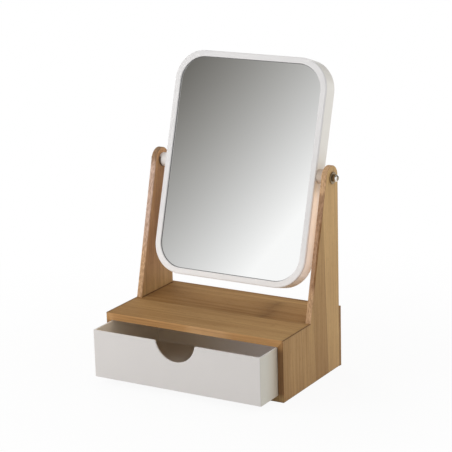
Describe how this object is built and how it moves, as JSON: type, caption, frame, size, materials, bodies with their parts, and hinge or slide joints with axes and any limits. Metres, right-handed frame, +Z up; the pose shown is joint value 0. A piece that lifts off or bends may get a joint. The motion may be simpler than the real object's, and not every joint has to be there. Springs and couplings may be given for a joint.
{
  "type": "vanity mirror with drawer",
  "caption": "Table-top mirror in a white rounded frame that tilts between tapered bamboo uprights on a low bamboo box with a white drawer.",
  "frame": {"origin": "middle of the flat underside of the box, which rests on the table", "axes": "+X to the right as seen from the front, +Y to the back, +Z up"},
  "size_m": [0.2138, 0.1814, 0.307],
  "materials": {
    "bamboo": "oiled, satin, laminated strips",
    "bamboo_back": "oiled, satin",
    "drawer_white": "satin white moulding",
    "frame_white": "glossy white moulding",
    "mirror": "silvered float glass",
    "pad_foam": "closed-cell foam",
    "dark_nickel": "dark nickel plated",
    "stud_steel": "zinc plated",
    "pin_steel": "plain steel",
    "insert_brass": "turned"
  },
  "bodies": {
    "base": {"right_side_board": "bamboo", "left_side_board": "bamboo", "top_board": "bamboo", "bottom_board": "bamboo", "back_board": "bamboo_back", "back_pins": "pin_steel"},
    "drawer": {"drawer_tray": "drawer_white"},
    "mirror": {"mirror_shell": "frame_white", "front_bezel": "frame_white", "mirror_glass": "mirror", "glass_pad": "pad_foam", "right_pivot_insert": "insert_brass", "right_pivot_stud": "stud_steel", "right_pivot_spacer": "frame_white", "right_pivot_washer": "dark_nickel", "right_cap_nut": "dark_nickel", "left_pivot_insert": "insert_brass", "left_pivot_stud": "stud_steel", "left_pivot_spacer": "frame_white", "left_pivot_washer": "dark_nickel", "left_cap_nut": "dark_nickel"}
  },
  "joints": [
    {"name": "drawer_slide", "type": "slide", "parent": "base", "child": "drawer", "axis": [0, -1, 0], "range_m": [-0.0327, 0.055]},
    {"name": "mirror_tilt", "type": "hinge", "parent": "base", "child": "mirror", "pos_m": [0, 0.04415, 0.1967], "axis": [1, 0, 0], "continuous": true}
  ]
}
